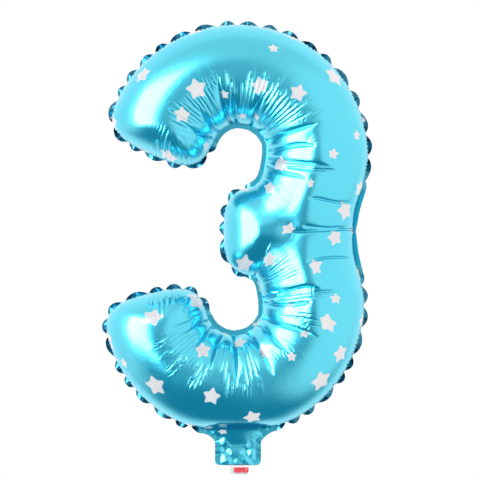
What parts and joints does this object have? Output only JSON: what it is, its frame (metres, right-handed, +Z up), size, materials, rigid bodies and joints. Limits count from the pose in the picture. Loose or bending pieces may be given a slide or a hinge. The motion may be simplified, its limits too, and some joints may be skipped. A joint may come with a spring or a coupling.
{
  "type": "foil number balloon",
  "caption": "Upright foil balloon in the shape of a numeral 3, swollen with air, with a welded seam fin and a flat tail that holds a self-sealing valve, for a party display.",
  "frame": {"origin": "middle of the neck's fold line, where the flat tail begins, on the seam plane", "axes": "+Z up along the standing numeral, +X to the right as the numeral is read, -Y out of its front"},
  "size_m": [0.2137, 0.0778, 0.3623],
  "materials": {
    "foil": "gloss",
    "clear_film": "satin",
    "red_film": "satin"
  },
  "bodies": {
    "envelope": {"front_foil_panel": "foil", "back_foil_panel": "foil"},
    "tail": {"tail_front_ply": "foil", "tail_back_ply": "foil", "valve_sleeve_front": "clear_film", "valve_sleeve_back": "clear_film"},
    "flap_front": {"valve_flap_front": "clear_film"},
    "flap_back": {"valve_flap_back": "clear_film"},
    "end_clear": {"valve_end_clear": "clear_film"},
    "end_red": {"valve_end_red": "red_film"}
  },
  "joints": [
    {"name": "tail_fold", "type": "hinge", "parent": "envelope", "child": "tail", "pos_m": [0, 0, 0], "axis": [1, 0, 0], "range_deg": [-95, 95]},
    {"name": "end_bend", "type": "hinge", "parent": "tail", "child": "end_clear", "pos_m": [0, 0, -0.0169], "axis": [1, 0, 0], "range_deg": [-60, 60]},
    {"name": "end_part", "type": "hinge", "parent": "end_clear", "child": "end_red", "pos_m": [0, 0, -0.0169], "axis": [1, 0, 0], "range_deg": [-20, 0]},
    {"name": "flap_part_front", "type": "hinge", "parent": "envelope", "child": "flap_front", "pos_m": [0, 0, 0.0034], "axis": [1, 0, 0], "range_deg": [0, 4], "stiffness_Nm_per_rad": 0.0001},
    {"name": "flap_part_back", "type": "hinge", "parent": "envelope", "child": "flap_back", "pos_m": [0, 0, 0.0034], "axis": [1, 0, 0], "range_deg": [-4, 0], "stiffness_Nm_per_rad": 0.0001}
  ],
  "couplings": [
    {"joint": "flap_part_back", "follows": "flap_part_front", "ratio": -1}
  ]
}
